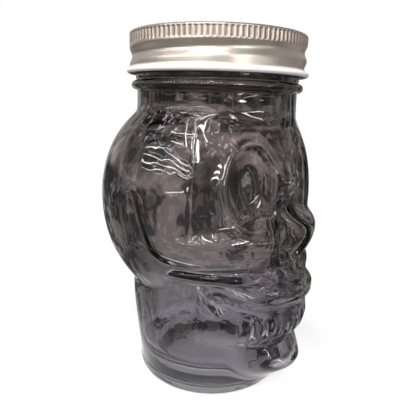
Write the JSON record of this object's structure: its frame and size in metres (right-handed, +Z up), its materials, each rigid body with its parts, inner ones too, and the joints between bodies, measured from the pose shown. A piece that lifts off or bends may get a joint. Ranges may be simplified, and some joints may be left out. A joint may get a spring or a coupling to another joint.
{
  "type": "skull glass jar",
  "caption": "Smoke-grey glass storage jar moulded as a skull on a round nape, with a threaded mouth closed by a ribbed metal screw band over a flat lid.",
  "frame": {"origin": "middle of the jar's base, on the axis of its round mouth, in the plane that it stands on", "axes": "+Z up along the axis of the mouth; the skull looks along -Y; +X is to the skull's left"},
  "size_m": [0.0934, 0.0979, 0.144],
  "materials": {
    "smoke_glass": "clear, grey with a slight purple cast",
    "sealing_compound": "matt",
    "satin_tinplate": "satin, warm silver"
  },
  "bodies": {
    "jar": {"glass_jar": "smoke_glass"},
    "lid": {"lid_disc": "satin_tinplate", "sealing_ring": "sealing_compound"},
    "band": {"screw_band": "satin_tinplate"}
  },
  "joints": [
    {"name": "lid_lift", "type": "slide", "parent": "jar", "child": "lid", "axis": [0, 0, 1], "range_m": [0, 0.0207]},
    {"name": "band_turn", "type": "hinge", "parent": "lid", "child": "band", "pos_m": [0, 0, 0.136], "axis": [0, 0, 1], "range_deg": [0, 1170]}
  ],
  "couplings": [
    {"joint": "lid_lift", "follows": "band_turn", "m_per_rad": 0.0010106}
  ]
}
